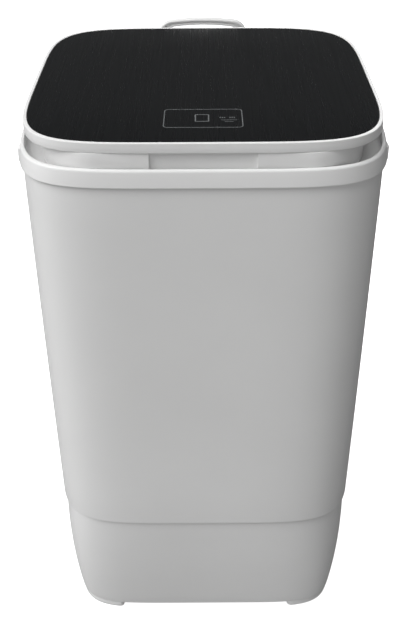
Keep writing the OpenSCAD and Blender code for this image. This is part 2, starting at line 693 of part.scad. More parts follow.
module capacitor() place() color([0.78, 0.79, 0.80]) translate([cap_at.x, cap_at.y, 0]) {
    translate([0, 0, cover_top + 0.5]) cylinder(r = cap_r, h = cap_h);
    for (s = [-6, 6]) translate([s - 0.4, -3, cover_top + cap_h]) cube([0.8, 6, 9]);
}

module capacitor_clamp() place() color(steel) translate([cap_at.x, cap_at.y, 0]) difference() {
    union() {
        translate([0, 0, clamp_z]) cylinder(r = cap_r + clamp_t, h = clamp_h);
        translate([cap_r, -4, on_cover]) cube([3, 8, clamp_z + clamp_h - on_cover]);
        translate([cap_r, -8, on_cover]) cube([16, 16, clamp_t]);
    }
    translate([0, 0, clamp_z - cut]) cylinder(r = cap_r + 0.2, h = clamp_h + 2 * cut);
}

box_at = [45, -130];
box_size = [90, 66, 40];
box_wall = 2.5;

module control_box() place() color(grey) {
    translate([box_at.x, box_at.y, on_cover]) difference() {
        cube(box_size);
        translate([box_wall, box_wall, box_wall]) cube(box_size - 2 * [box_wall, box_wall, box_wall]);
        for (x = [10 : 12 : 70]) translate([x, box_size.y - 6, 10]) cube([5, 8, 20]);
    }
    for (x = [box_at.x - 7, box_at.x + box_size.x]) translate([x, -105, on_cover]) cube([7.2, 16, 3]);
}

// Strain relief for the mains cord in the base's rear wall.
module cable_gland() place() color(black) translate([gland_x, 0, gland_z]) rotate([-90, 0, 0])
difference() {
    union() {
        translate([0, 0, gland_in]) cylinder(r = gland_r, h = boss_out + 2 - gland_in);
        translate([0, 0, boss_out + gap]) cylinder(r = gland_r + 3.9, h = 4);
        translate([0, 0, boss_out + 2]) cylinder(r = gland_r - 1.6, h = 20);
        translate([0, 0, gland_in]) cylinder(r = gland_r + 3.4, h = boss_in - gap - gland_in, $fn = 6);
    }
    translate([0, 0, gland_in - cut]) cylinder(r = gland_bore, h = 60);
    translate([0, 0, gland_in - cut]) cylinder(r = gland_bore + 1.4, h = boss_out + 4 + cut - gland_in);
}

// Reed switch on the collar's deck, under the magnet in the lid.
module lid_switch() place() color(grey) translate([118, -171, deck_z - deck_t - 10.4]) cube([24, 9, 10]);

// ---- hinge ------------------------------------------------------------------------

ear_w = 4;                // width of the two ears that hold the pin
ear_r = 5;
bracket_w = 30;

module hinge_bracket(side) place() color(white) translate([side * hinge_x, hinge_y, 0]) difference() {
    union() {
        translate([-bracket_w / 2, -8.5, deck_z + 0.2]) cube([bracket_w, 12.8, 2]);
        for (x = [-bracket_w / 2, bracket_w / 2 - ear_w]) translate([x, 0, 0]) {
            translate([0, -ear_r, deck_z + 1]) cube([ear_w, ear_r + 4.3, hinge_z - deck_z - 1]);
            translate([0, 0, hinge_z]) rotate([0, 90, 0]) cylinder(r = ear_r, h = ear_w);
        }
    }
    translate([-bracket_w, 0, hinge_z]) rotate([0, 90, 0]) cylinder(r = pin_r + 0.02, h = 2 * bracket_w);
}
module hinge_bracket_left() hinge_bracket(-1);
module hinge_bracket_right() hinge_bracket(1);

module hinge_pin(side) place() color(steel)
    translate([side * hinge_x - bracket_w / 2 - 1, hinge_y, hinge_z]) rotate([0, 90, 0])
    cylinder(r = pin_r, h = bracket_w + 2);
module hinge_pin_left() hinge_pin(-1);
module hinge_pin_right() hinge_pin(1);

module lid_bumpers() place() color(rubber)
    corners(142, 128) translate([0, 0, deck_z + 0.05]) cylinder(r = 5, h = 1.1);

// ---- lid --------------------------------------------------------------------------

rim_in = rim_half - 3;    // inner face of the rim's upright wall
ledge_in = plate_half - 9;

// White ring round the plate, with a ledge that the plate lies on.
module lid_rim() place() color(white)
    loft([square_ring(rim_in, rim_low), square_ring(rim_half - 0.5, rim_low),
          square_ring(rim_half, rim_low + 0.6), square_ring(rim_half + 0.2, rim_low + 4),
          square_ring(rim_half, washer_h - 1), square_ring(rim_half - 0.4, washer_h - 0.3),
          square_ring(rim_half - 1.1, washer_h), square_ring(rim_in, washer_h - 0.1),
          square_ring(plate_half + 0.4, washer_h - 0.8), square_ring(plate_half + 0.3, washer_h - 3),
          square_ring(ledge_in, washer_h - 3), square_ring(ledge_in, washer_h - 5),
          square_ring(rim_in, washer_h - 5)], true);

// Black glossy plate with softened edges and four screw posts underneath.
module lid_plate() place() color(black) difference() {
    union() {
        loft([square_ring(plate_half, washer_h - 2.8), square_ring(plate_half, washer_h - 0.5),
              square_ring(plate_half - 0.3, washer_h - 0.15), square_ring(plate_half - 0.9, washer_h)]);
        corners(lid_post, lid_post) translate([0, 0, rim_low + 3.1]) cylinder(r = lid_post_r - 1, h = 5);
    }
    corners(lid_post, lid_post) translate([0, 0, rim_low + 2]) cylinder(r = lid_bore, h = 6);
}

module pan_block(inset, z0, z1) translate([0, 0, z0]) linear_extrude(z1 - z0)
    polygon(rounded_rect(pan_half_w - inset, -pan_front + inset, pan_rear - inset, pan_corner - inset));

// Slab that fills the rim's opening with a small gap all round.
module inside_rim(z0, z1) translate([0, 0, z0]) linear_extrude(z1 - z0)
    polygon(flat(square_ring(rim_in - gap, 0)));

// Underside of the lid: a pan with a finger recess in front and hinge knuckles behind.
module lid_inner_cover() place() color(white) difference() {
    union() {
        pan_block(0, pan_low, rim_low - gap);
        intersection() {
            pan_block(0, rim_low - 1, rim_low + 1);
            inside_rim(rim_low - 2, rim_low + 2);
        }
        inside_rim(rim_low + 0.4, rim_low + 2.8);
        for (s = [-1, 1]) translate([s * hinge_x - knuckle_w / 2, 0, 0]) {
            translate([0, pan_rear - 1, hinge_z - 3.5]) cube([knuckle_w, hinge_y - pan_rear + 1, 7]);
            translate([0, hinge_y, hinge_z]) rotate([0, 90, 0]) cylinder(r = ear_r, h = knuckle_w);
        }
    }
    difference() {
        pan_block(wall, pan_low + wall, rim_low + 5);
        translate([-recess_w / 2 - wall, -pan_front - 5, pan_low])
            cube([recess_w + 2 * wall, recess_d + 5 + wall, rim_low + 0.4 - pan_low + wall]);
        corners(lid_post, lid_post) translate([0, 0, pan_low]) cylinder(r = lid_post_r, h = 60);
    }
    translate([-recess_w / 2, -pan_front - 5, pan_low - 1])
        cube([recess_w, recess_d + 5, rim_low + 1.4 - pan_low]);
    corners(lid_post, lid_post) translate([0, 0, pan_low - 1]) cylinder(r = lid_bore, h = 40);
    for (s = [-1, 1]) translate([s * hinge_x - bracket_w / 2, hinge_y, hinge_z])
        rotate([0, 90, 0]) cylinder(r = pin_r + 0.06, h = bracket_w);
}

board_half = 46;
board_front = -154;
board_d = 60;
board_t = 1.6;

// Circuit board of the touch panel, close under the plate.
module touch_board() place() color([0.08, 0.32, 0.16]) difference() {
    translate([-board_half, board_front, washer_h - 5.2]) cube([2 * board_half, board_d, board_t]);
    for (s = [-1, 1]) translate([s * (board_half - 5), board_front + board_d / 2, washer_h - 8])
        cylinder(r = 1.6, h = 8);
}

module lid_screws() place() color(steel) corners(lid_post, lid_post)
    translate([0, 0, pan_low + 0.4]) cylinder(r = lid_screw_r, h = rim_low + 7 - pan_low);

module lid_magnet() place() color(steel) translate([122, -150, pan_low + wall + 0.2]) cube([16, 8, 6]);

base_shell();
bottom_cover();
cover_screws();
foot_front_left();
foot_front_right();
foot_rear_left();
foot_rear_right();
foot_pads();
cabinet_shell();
collar();
collar_clip_left();
collar_clip_right();
rear_handle();
handle_screws();
wash_tub();
tub_gasket();
tub_screws();
lint_filter();
drain_grille();
drain_elbow();
drain_hose_inner();
drain_outlet();
bearing_housing();
upper_bush();
lower_bush();
shaft_seal();
support_frame();
frame_screws();
motor_housing();
motor_end_bell();
motor_stator();
motor_mounts();
motor_screws();
capacitor();
capacitor_clamp();
control_box();
cable_gland();
lid_switch();
drive_belt();
hinge_bracket_left();
hinge_bracket_right();
hinge_pin_left();
hinge_pin_right();
lid_bumpers();
pulsator();
pulsator_cap();
pulsator_screw();
pulsator_shaft();
drive_pulley();
pulley_nut();
rotor_core();
rotor_shaft();
motor_pulley();
motor_fan();
lid_rim();
lid_plate();
lid_inner_cover();
touch_board();
lid_screws();
lid_magnet();
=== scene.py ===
"""Looks for the top load washing machine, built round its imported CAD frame."""
import json
import math

import bmesh
import bpy
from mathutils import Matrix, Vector


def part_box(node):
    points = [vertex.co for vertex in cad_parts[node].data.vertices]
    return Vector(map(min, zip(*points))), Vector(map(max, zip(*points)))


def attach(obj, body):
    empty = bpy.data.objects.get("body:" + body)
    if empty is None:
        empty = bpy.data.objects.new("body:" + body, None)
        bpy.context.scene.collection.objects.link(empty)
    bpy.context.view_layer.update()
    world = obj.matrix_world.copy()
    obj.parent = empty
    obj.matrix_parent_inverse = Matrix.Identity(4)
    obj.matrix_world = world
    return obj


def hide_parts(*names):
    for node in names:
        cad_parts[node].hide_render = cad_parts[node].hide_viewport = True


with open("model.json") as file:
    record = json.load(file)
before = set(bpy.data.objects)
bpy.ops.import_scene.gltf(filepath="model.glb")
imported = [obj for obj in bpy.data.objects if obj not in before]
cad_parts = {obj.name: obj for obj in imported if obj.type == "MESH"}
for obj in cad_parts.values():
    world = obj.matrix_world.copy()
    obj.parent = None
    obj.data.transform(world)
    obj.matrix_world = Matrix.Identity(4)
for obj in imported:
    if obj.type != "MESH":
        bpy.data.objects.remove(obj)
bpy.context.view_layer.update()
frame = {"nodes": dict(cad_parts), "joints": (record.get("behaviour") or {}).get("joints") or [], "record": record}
MM = 0.001

# ---- sizes, from the frame --------------------------------------------------------

STEPS = 256                     # points round an outline
CORNER_N = 5.15                 # exponent of the rounded-square outline, as in the CAD
BASE_N = 6.2                    # the base's lower edge has squarer corners


def middle(node):
    low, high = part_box(node)
    return (low + high) / 2


def low(node):
    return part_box(node)[0]


def high(node):
    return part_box(node)[1]


def half_size(node, z0, z1, axis):
    """The CAD node's largest half size along axis (0 or 1) between two heights."""
    centre = middle("cabinet_shell")
    points = [v.co for v in frame["nodes"][node].data.vertices if z0 <= v.co.z <= z1]
    return max(abs(p[axis] - centre[axis]) for p in points)


AXIS_Y = middle("cabinet_shell").y
PLATE_TOP = high("lid_plate").z
RIM_LOW = low("lid_rim").z
COLLAR_LOW = high("collar_clip_left").z + 0.6 * MM
BEAD_TOP = high("collar").z
SEAM_Z = low("cabinet_shell").z
BASE_Z = low("base_shell").z
DECK_Z = low("lid_bumpers").z - 0.05 * MM
PLATE_HALF = half_size("lid_plate", PLATE_TOP - 3 * MM, PLATE_TOP, 0)
RIM_HALF = half_size("lid_rim", RIM_LOW, PLATE_TOP, 0)
COLLAR_HALF = high("collar").x
SKIRT_IN = half_size("cabinet_shell", COLLAR_LOW - 1 * MM, COLLAR_LOW + 1 * MM, 0) + 0.8 * MM
CABINET_LOW = half_size("cabinet_shell", SEAM_Z + 1 * MM, SEAM_Z + 2 * MM, 0)
CABINET_TOP = half_size("cabinet_shell", COLLAR_LOW - 1 * MM, COLLAR_LOW + 1 * MM, 0)
BASE_W = half_size("base_shell", BASE_Z + 1 * MM, BASE_Z + 2 * MM, 0) - 0.2 * MM
BASE_D = half_size("base_shell", BASE_Z + 1 * MM, BASE_Z + 2 * MM, 1) - 0.2 * MM

WALL = 2.5 * MM                 # thickness of the cabinet's wall
CABINET_SWELL = 0.5 * MM
BASE_SWELL = 4 * MM
BASE_WALL = 3 * MM
SEAM_STEP = 3.5 * MM            # how far the base stands in from the cabinet at the seam
TONGUE_IN = 3.4 * MM            # inset of the outer and inner face of the base's tongue
TONGUE_WALL = 6 * MM
LIP_W = 22 * MM                 # lip inside the base's lower edge
LIP_H = 4 * MM
BOSS_IN = 163.5 * MM            # inner and outer face of the bosses in the rear wall
BOSS_OUT = 177.5 * MM
BOSSES = (("drain_outlet", 22 * MM, 14.6 * MM), ("cable_gland", 16 * MM, 9.4 * MM))

SPOUT_WALL = 2.5 * MM
DECK_T = 3 * MM
BEAD_W = 6.3 * MM               # width of the collar's bead
BAND_LEAN = 2.6 * MM            # how far the collar's band leans in towards its top

PLATE_T = 2.8 * MM
LEDGE_W = 9 * MM                # ledge under the plate
RIM_WALL = 3.2 * MM

PAN_HALF_W = 165 * MM
PAN_REAR = 172 * MM
PAN_CORNER = 60 * MM
NOTCH_HALF = 53.5 * MM
NOTCH_D = 2.5 * MM
HINGE_X = 95 * MM
KNUCKLE_HALF = 10 * MM
KNUCKLE_R = 5 * MM

HANDLE_LIP = 2.8 * MM           # thickness of the lip on top of the handle
HANDLE_WEB = 6.2 * MM
SHOULDER = 19 * MM              # radius of the handle's shoulders
CROWN = 2.2 * MM                # how far the handle rises between them


# ---- mesh helpers -----------------------------------------------------------------

def make(name, verts, faces, sharp=32):
    """A smooth-shaded mesh object whose edges over `sharp` degrees stay crisp."""
    mesh = bpy.data.meshes.new(name)
    mesh.from_pydata([tuple(v) for v in verts], [], faces)
    mesh.validate()
    bm = bmesh.new()
    bm.from_mesh(mesh)
    bmesh.ops.remove_doubles(bm, verts=bm.verts, dist=1e-6)
    bmesh.ops.recalc_face_normals(bm, faces=bm.faces)
    bm.to_mesh(mesh)
    bm.free()
    mesh.shade_smooth()
    mesh.set_sharp_from_angle(angle=math.radians(sharp))
    piece = bpy.data.objects.new(name, mesh)
    bpy.context.scene.collection.objects.link(piece)
    return piece


def outline(hx, hy, n, steps=STEPS):
    """Points of a rounded-square outline with half sizes hx, hy and exponent n."""
    points = []
    for i in range(steps):
        t = 2 * math.pi * (i + 0.5) / steps
        c, s = math.cos(t), math.sin(t)
        points.append((math.copysign(hx * abs(c) ** (2 / n), c),
                       math.copysign(hy * abs(s) ** (2 / n), s)))
    return points


def skin(rings, closed=False, capped=False):
    """Vertices and faces of a skin through rings of equally many points."""
    n = len(rings[0])
    verts = [p for ring in rings for p in ring]
    faces = []
    for i in range(len(rings) if closed else len(rings) - 1):
        a, b = i * n, ((i + 1) % len(rings)) * n
        for j in range(n):
            k = (j + 1) % n
            faces.append((a + j, a + k, b + k, b + j))
    if capped:
        faces.append(tuple(range(n - 1, -1, -1)))
        faces.append(tuple(range((len(rings) - 1) * n, len(rings) * n)))
    return verts, faces


def rounded(profile, segments=5, closed=True):
    """A profile of (across, up, radius) corners with each corner turned into an arc."""
    points = []
    count = len(profile)
    for i, (x, z, r) in enumerate(profile):
        here = Vector((x, z))
        if r == 0 or (not closed and i in (0, count - 1)):
            points.append((x, z))
            continue
        back = Vector(profile[i - 1][:2]) - here
        ahead = Vector(profile[(i + 1) % count][:2]) - here
        angle = back.angle(ahead)
        reach = min(r / math.tan(angle / 2), back.length * 0.8, ahead.length * 0.8)
        start, end = here + back.normalized() * reach, here + ahead.normalized() * reach
        for k in range(segments + 1):
            t = k / segments
            p = start.lerp(here, t).lerp(here.lerp(end, t), t)
            points.append((p.x, p.y))
    return points


def swept(name, profile, size_at, closed=True, capped=False, steps=STEPS):
    """Sweeps (offset, z) points round the outline that size_at(z, offset) gives."""
    rings = []
    for offset, z in profile:
        hx, hy, n = size_at(z, offset)
        rings.append([(x, y + AXIS_Y, z) for x, y in outline(hx, hy, n, steps)])
    verts, faces = skin(rings, closed, capped)
    return make(name, verts, faces)


def square_at(z, half):
    return half, half, CORNER_N


def extruded(name, loop, z0, z1, edge=0.0, sharp=32):
    """An upright block over a closed loop of (x, y) points, with both edges eased."""
    centre = sum((Vector(p) for p in loop), Vector((0, 0))) / len(loop)

    def inset(d):
        return [(Vector(p) - (Vector(p) - centre).normalized() * d) for p in loop]

    levels = [(edge, z0), (edge * 0.3, z0 + edge * 0.3), (0, z0 + edge),
              (0, z1 - edge), (edge * 0.3, z1 - edge * 0.3), (edge, z1)]
    if edge == 0:
        levels = [(0, z0), (0, z1)]
    rings = [[(p[0], p[1], z) for p in inset(d)] for d, z in levels]
    verts, faces = skin(rings, capped=True)
    return make(name, verts, faces, sharp)


def rounded_rect(hx, y0, y1, r, arc=10):
    """Loop of a rounded rectangle from y0 to y1, half width hx."""
    loop = []
    for sx, sy, turn in ((1, 1, 0), (-1, 1, 90), (-1, -1, 180), (1, -1, 270)):
        for i in range(arc + 1):
            a = math.radians(turn + 90 * i / arc)
            y = y1 - r if sy > 0 else y0 + r
            loop.append((sx * (hx - r) + r * math.cos(a), y + r * math.sin(a)))
    return loop


def bevelled(piece, width, segments=3):
    modifier = piece.modifiers.new("ease", "BEVEL")
    modifier.width = width
    modifier.segments = segments
    modifier.limit_method = "ANGLE"
    modifier.angle_limit = math.radians(35)
    modifier.harden_normals = True
    return piece


def settle(piece, body, slot, material, *nodes):
    """Dresses a piece, makes it ride, and hides the CAD nodes that it stands for."""
    piece.data.materials.append(material)
    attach(piece, body)
    if nodes:
        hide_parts(*nodes)
    return piece


# ---- materials --------------------------------------------------------------------

class Shade:
    """A principled material with object-space noise helpers."""

    def __init__(self, name, roughness, metallic=0.0, specular=0.5):
        self.material = bpy.data.materials.new(name)
        self.material.use_nodes = True
        self.tree = self.material.node_tree
        self.shader = self.tree.nodes["Principled BSDF"]
        self.shader.inputs["Roughness"].default_value = roughness
        self.shader.inputs["Metallic"].default_value = metallic
        self.shader.inputs["Specular IOR Level"].default_value = specular
        self.place = self.tree.nodes.new("ShaderNodeTexCoord").outputs["Object"]

    def link(self, a, b):
        self.tree.links.new(a, b)

    def noise(self, scale, detail=2.0, stretch=(1, 1, 1)):
        mapping = self.tree.nodes.new("ShaderNodeMapping")
        mapping.inputs["Scale"].default_value = stretch
        self.link(self.place, mapping.inputs["Vector"])
        node = self.tree.nodes.new("ShaderNodeTexNoise")
        node.inputs["Scale"].default_value = scale
        node.inputs["Detail"].default_value = detail
        self.link(mapping.outputs["Vector"], node.inputs["Vector"])
        return node.outputs["Fac"]

    def spread(self, value, low, high, start=0.3, end=0.7):
        node = self.tree.nodes.new("ShaderNodeMapRange")
        node.inputs["From Min"].default_value = start
        node.inputs["From Max"].default_value = end
        node.inputs["To Min"].default_value = low
        node.inputs["To Max"].default_value = high
        self.link(value, node.inputs["Value"])
        return node.outputs["Result"]

    def tint(self, value, dark, light, start=0.3, end=0.7):
        node = self.tree.nodes.new("ShaderNodeValToRGB")
        node.color_ramp.elements[0].position = start
        node.color_ramp.elements[1].position = end
        node.color_ramp.elements[0].color = (*dark, 1)
        node.color_ramp.elements[1].color = (*light, 1)
        self.link(value, node.inputs["Fac"])
        self.link(node.outputs["Color"], self.shader.inputs["Base Color"])

    def rough(self, value, low, high):
        self.link(self.spread(value, low, high), self.shader.inputs["Roughness"])

    def bump(self, value, strength, distance):
        node = self.tree.nodes.new("ShaderNodeBump")
        node.inputs["Strength"].default_value = strength
        node.inputs["Distance"].default_value = distance
        self.link(value, node.inputs["Height"])
        previous = self.shader.inputs["Normal"].links
        if previous:
            self.link(previous[0].from_socket, node.inputs["Normal"])
        self.link(node.outputs["Normal"], self.shader.inputs["Normal"])


def moulded(name, dark, light, roughness, grain=0.06, sink=0.05):
    """Injection-moulded plastic: slight tone drift, sink marks, fine grain and uneven gloss."""
    s = Shade(name, roughness)
    s.tint(s.noise(7, 3), dark, light)
    s.rough(s.noise(60, 4), roughness - 0.05, roughness + 0.06)
    s.bump(s.noise(14, 2), sink, 0.002)
    s.bump(s.noise(2200, 2), grain, 0.00012)
    return s.material


def brushed_plate():
    """Glossy black sheet with fine brushing that runs from front to back."""
    s = Shade("black_brushed_plate", 0.3, specular=0.06)
    strokes = s.noise(900, 3, (1, 0.012, 1))
    s.tint(strokes, (0.0068, 0.0073, 0.0078), (0.0092, 0.0098, 0.0104))
    s.rough(s.noise(420, 3, (1, 0.02, 1)), 0.24, 0.36)
    s.bump(strokes, 0.05, 0.00008)
    s.shader.inputs["Coat Weight"].default_value = 0.04
    s.shader.inputs["Coat Roughness"].default_value = 0.06
    return s.material


def metal(name, dark, light, roughness, stretch=(1, 1, 1), scale=300):
    """Machined or plated metal with a fine directional grain."""
    s = Shade(name, roughness, metallic=1.0)
    grain = s.noise(scale, 4, stretch)
    s.tint(grain, dark, light)
    s.rough(grain, roughness - 0.08, roughness + 0.12)
    s.bump(grain, 0.12, 0.0002)
    return s.material


def rubbery():
    s = Shade("moulded_rubber", 0.75, specular=0.3)
    s.tint(s.noise(40, 3), (0.016, 0.016, 0.017), (0.030, 0.030, 0.031))
    s.rough(s.noise(300, 3), 0.62, 0.85)
    s.bump(s.noise(1200, 2), 0.2, 0.0002)
    return s.material


def cast(name, dark, light):
    """Sand-cast or die-cast alloy: mottled tone with a pebbled skin."""
    s = Shade(name, 0.5, metallic=1.0)
    s.tint(s.noise(80, 5), dark, light)
    s.rough(s.noise(200, 3), 0.4, 0.62)
    s.bump(s.noise(500, 3), 0.25, 0.0003)
    return s.material


def painted_motor():
    s = Shade("motor_enamel", 0.42)
    s.tint(s.noise(30, 4), (0.018, 0.018, 0.020), (0.035, 0.035, 0.038))
    s.rough(s.noise(120, 3), 0.34, 0.5)
    s.bump(s.noise(700, 2), 0.12, 0.0002)
    return s.material


def windings():
    """Varnished laminations: thin level layers with a copper cast."""
    s = Shade("varnished_windings", 0.4, metallic=0.6)
    layers = s.noise(900, 1, (0.02, 0.02, 1))
    s.tint(layers, (0.16, 0.07, 0.03), (0.42, 0.22, 0.10))
    s.bump(layers, 0.4, 0.0003)
    return s.material


def board():
    s = Shade("circuit_board", 0.35)
    s.tint(s.noise(260, 2), (0.010, 0.085, 0.035), (0.022, 0.14, 0.06), 0.45, 0.55)
    s.bump(s.noise(500, 2), 0.1, 0.0002)
    return s.material


def print_ink():
    s = Shade("panel_ink", 0.5)
    s.tint(s.noise(400, 2), (0.105, 0.112, 0.115), (0.150, 0.158, 0.162))
    s.bump(s.noise(1500, 2), 0.1, 0.0001)
    return s.material


WHITE = moulded("white_moulded_plastic", (0.785, 0.785, 0.782), (0.812, 0.812, 0.809), 0.42)
LOOKS = {
    "white_plastic": WHITE,
    "black_plate": brushed_plate(),
    "tub_plastic": moulded("tub_plastic", (0.745, 0.760, 0.770), (0.765, 0.780, 0.790),
                           0.38, 0.04, 0.01),
    "pulsator_plastic": moulded("pulsator_plastic", (0.74, 0.76, 0.78), (0.79, 0.81, 0.83),
                                0.32, 0.04, 0.01),
    "grey_plastic": moulded("grey_plastic", (0.25, 0.26, 0.28), (0.31, 0.32, 0.34), 0.5, 0.15),
    "black_plastic": moulded("black_plastic", (0.018, 0.018, 0.018), (0.03, 0.03, 0.03), 0.5, 0.15),
    "blue_plastic": moulded("blue_plastic", (0.16, 0.30, 0.42), (0.21, 0.36, 0.48), 0.42, 0.1),
    "circuit_board": board(),
    "rubber": rubbery(),
    "steel": metal("ground_steel", (0.42, 0.42, 0.43), (0.62, 0.62, 0.63), 0.3, (1, 1, 0.1)),
    "zinc_steel": metal("zinc_plated_steel", (0.50, 0.51, 0.53), (0.68, 0.69, 0.72), 0.36, (1, 1, 1), 60),
    "cast_aluminium": cast("cast_aluminium", (0.50, 0.51, 0.52), (0.66, 0.67, 0.68)),
    "bronze": cast("sintered_bronze", (0.42, 0.27, 0.12), (0.60, 0.40, 0.20)),
    "motor_paint": painted_motor(),
    "windings": windings(),
}
INK = print_ink()


def dress_frame():
    """Gives every carried-over CAD node the material of its slot."""
    slots = {s["node"]: s["material_slot"] for s in frame["record"]["subparts"]}
    for name, node in frame["nodes"].items():
        node.data.materials.clear()
        node.data.materials.append(LOOKS[slots[name]])


# ---- shells -----------------------------------------------------------------------

def cabinet_size(z, inset):
    """The cabinet's outline: a straight taper plus a slight swell."""
    t = (z - SEAM_Z) / (COLLAR_LOW - SEAM_Z)
    half = CABINET_LOW + (CABINET_TOP - CABINET_LOW) * t
    half += CABINET_SWELL * math.sin(math.pi * min(1, max(0, t)))
    return half - inset, half - inset, CORNER_N


def cabinet():
    """Tapering wall of the cabinet, eased at both ends."""
    ceiling = high("cabinet_shell").z
    levels = [SEAM_Z + (ceiling - SEAM_Z) * i / 12 for i in range(1, 12)]
    profile = [(WALL, SEAM_Z, 0.4 * MM), (0, SEAM_Z, 1.1 * MM)]
    profile += [(0, z, 0) for z in levels]
    profile += [(0.2 * MM, ceiling, 0.4 * MM), (WALL, ceiling, 0.4 * MM)]
    piece = swept("cabinet_skin", rounded(profile), cabinet_size)
    return settle(piece, "cabinet", "white_plastic", WHITE, "cabinet_shell")


def base_size(z, inset):
    """The base's outline: straight taper plus a slight swell, squarer at the floor."""
    t = (z - BASE_Z) / (SEAM_Z + BASE_WALL - BASE_Z)
    swell = 4 * BASE_SWELL * t * (1 - t)
    top = CABINET_LOW - SEAM_STEP
    n = BASE_N + (CORNER_N - BASE_N) * t
    hx = BASE_W + (top - BASE_W) * t + swell - inset
    hy = BASE_D + (top - BASE_D) * t + swell - inset
    return hx, hy, n


def base():
    """Lower shell with its tongue, inner lip and the two bosses in the rear wall."""
    ceiling = high("base_shell").z
    step = SEAM_Z - 0.5 * MM
    levels = [BASE_Z + (step - BASE_Z) * i / 12 for i in range(1, 12)]
    profile = [(LIP_W, BASE_Z, 0.5 * MM), (0, BASE_Z, 2.2 * MM)]
    profile += [(0, z, 0) for z in levels]
    profile += [(0, step, 0.5 * MM), (TONGUE_IN, step, 0.3 * MM), (TONGUE_IN, ceiling, 0.5 * MM),
                (TONGUE_WALL, ceiling, 0.5 * MM), (TONGUE_WALL, SEAM_Z - 5 * MM, 1 * MM),
                (BASE_WALL, SEAM_Z - 12 * MM, 1 * MM), (BASE_WALL, 100 * MM, 0), (BASE_WALL, 55 * MM, 0),
                (BASE_WALL, BASE_Z + LIP_H, 1 * MM), (LIP_W, BASE_Z + LIP_H, 0.5 * MM)]
    piece = swept("base_skin", rounded(profile), base_size)
    past = Vector((0, 20 * MM, 0))
    for node, boss_r, hole_r in BOSSES:
        at = middle(node)
        start = Vector((at.x, AXIS_Y + BOSS_IN, at.z))
        end = Vector((at.x, AXIS_Y + BOSS_OUT, at.z))
        combine(piece, rod("boss", start, end, boss_r), "UNION")
        combine(piece, rod("hole", start - past, end + past, hole_r), "DIFFERENCE")
    return settle(piece, "cabinet", "white_plastic", WHITE, "base_shell")


def combine(piece, tool, operation):
    """Joins the tool's volume to a piece, or takes it out."""
    bpy.context.view_layer.update()
    modifier = piece.modifiers.new("combine", "BOOLEAN")
    modifier.object = tool
    modifier.operation = operation
    modifier.solver = "EXACT"
    bpy.context.view_layer.update()
    graph = bpy.context.evaluated_depsgraph_get()
    result = bpy.data.meshes.new_from_object(piece.evaluated_get(graph))
    piece.modifiers.clear()
    piece.data = result
    result.shade_smooth()
    result.set_sharp_from_angle(angle=math.radians(32))
    bpy.data.objects.remove(tool)
    return piece


def collar():
    """Top frame: leaning band with a round bead, sunken deck and spout lip."""
    mouth = half_size("collar", DECK_Z - 16 * MM, DECK_Z - 14 * MM, 0) - SPOUT_WALL
    lip = low("collar").z
    bead_in = COLLAR_HALF - BEAD_W
    under = DECK_Z - DECK_T

    def size_at(z, half):
        return half, half, 2 if half < mouth + DECK_T else CORNER_N

    profile = rounded([
        (SKIRT_IN, COLLAR_LOW, 0.3 * MM), (COLLAR_HALF, COLLAR_LOW, 0.8 * MM),
        (COLLAR_HALF - BAND_LEAN, BEAD_TOP, 3.4 * MM),
        (bead_in, BEAD_TOP, 0.8 * MM), (bead_in, DECK_Z, 1.4 * MM),
        (mouth, DECK_Z, 2.5 * MM), (mouth, lip, 0.6 * MM), (mouth + SPOUT_WALL, lip, 0.6 * MM),
        (mouth + SPOUT_WALL, under, 0.8 * MM), (SKIRT_IN, under, 0.5 * MM)], 8)
    piece = swept("collar_frame", profile, size_at)
    return settle(piece, "cabinet", "white_plastic", WHITE, "collar")


def bend(cx, cy, r, start, count=6):
    """Points of a quarter turn round (cx, cy) from the angle start."""
    angles = [math.radians(start + 90 * i / count) for i in range(count + 1)]
    return [(cx + r * math.cos(a), cy + r * math.sin(a)) for a in angles]


def foot_loop(near, hx, hy, turn):
    """Plan of a foot: outer side on the base's outline, inner ends at near."""
    def edge(a, b, v):
        return b * (1 - (v / a) ** BASE_N) ** (1 / BASE_N)

    t0 = math.asin(((near.y + turn) / hy) ** (BASE_N / 2))
    t1 = math.acos(((near.x + turn) / hx) ** (BASE_N / 2))
    loop = bend(edge(hy, hx, near.y + turn) - turn, near.y + turn, turn, -90)
    for i in range(1, 32):
        t = t0 + (t1 - t0) * i / 32
        loop.append((hx * math.cos(t) ** (2 / BASE_N), hy * math.sin(t) ** (2 / BASE_N)))
    loop += bend(near.x + turn, edge(hx, hy, near.x + turn) - turn, turn, 90)
    loop += bend(near.x + turn, near.y + turn, turn, 180)
    return loop


def feet():
    """Corner feet: outer side along the base's outline, rounded ends and lower rim."""
    reach = high("foot_front_right")
    near = Vector((low("foot_front_right").x, AXIS_Y - high("foot_front_right").y))
    hx, hy = reach.x, AXIS_Y - low("foot_front_right").y
    loop = foot_loop(near, hx, hy, 5 * MM)
    centre = Vector(((near.x + hx) / 2, (near.y + hy) / 2))
    bottom, top = low("foot_front_right").z, reach.z
    levels = [(bottom, 3.4 * MM), (bottom + 0.3 * MM, 2.2 * MM), (bottom + 1.0 * MM, 1.1 * MM),
              (bottom + 2.0 * MM, 0.4 * MM), (bottom + 3.4 * MM, 0), (top - 1.2 * MM, 0),
              (top - 0.4 * MM, 0.4 * MM), (top, 1.3 * MM)]
    inner_reach = 28 * MM
    for name, sx, sy in (("front_left", -1, -1), ("front_right", 1, -1),
                         ("rear_left", -1, 1), ("rear_right", 1, 1)):
        rings = []
        for z, d in levels:
            scale = 1 - d / inner_reach
            rings.append([(sx * (centre.x + scale * (x - centre.x)),
                           sy * (centre.y + scale * (y - centre.y)) + AXIS_Y, z) for x, y in loop])
        verts, faces = skin(rings, capped=True)
        piece = make("foot_" + name + "_skin", verts, faces)
        settle(piece, "cabinet", "white_plastic", WHITE, "foot_" + name)


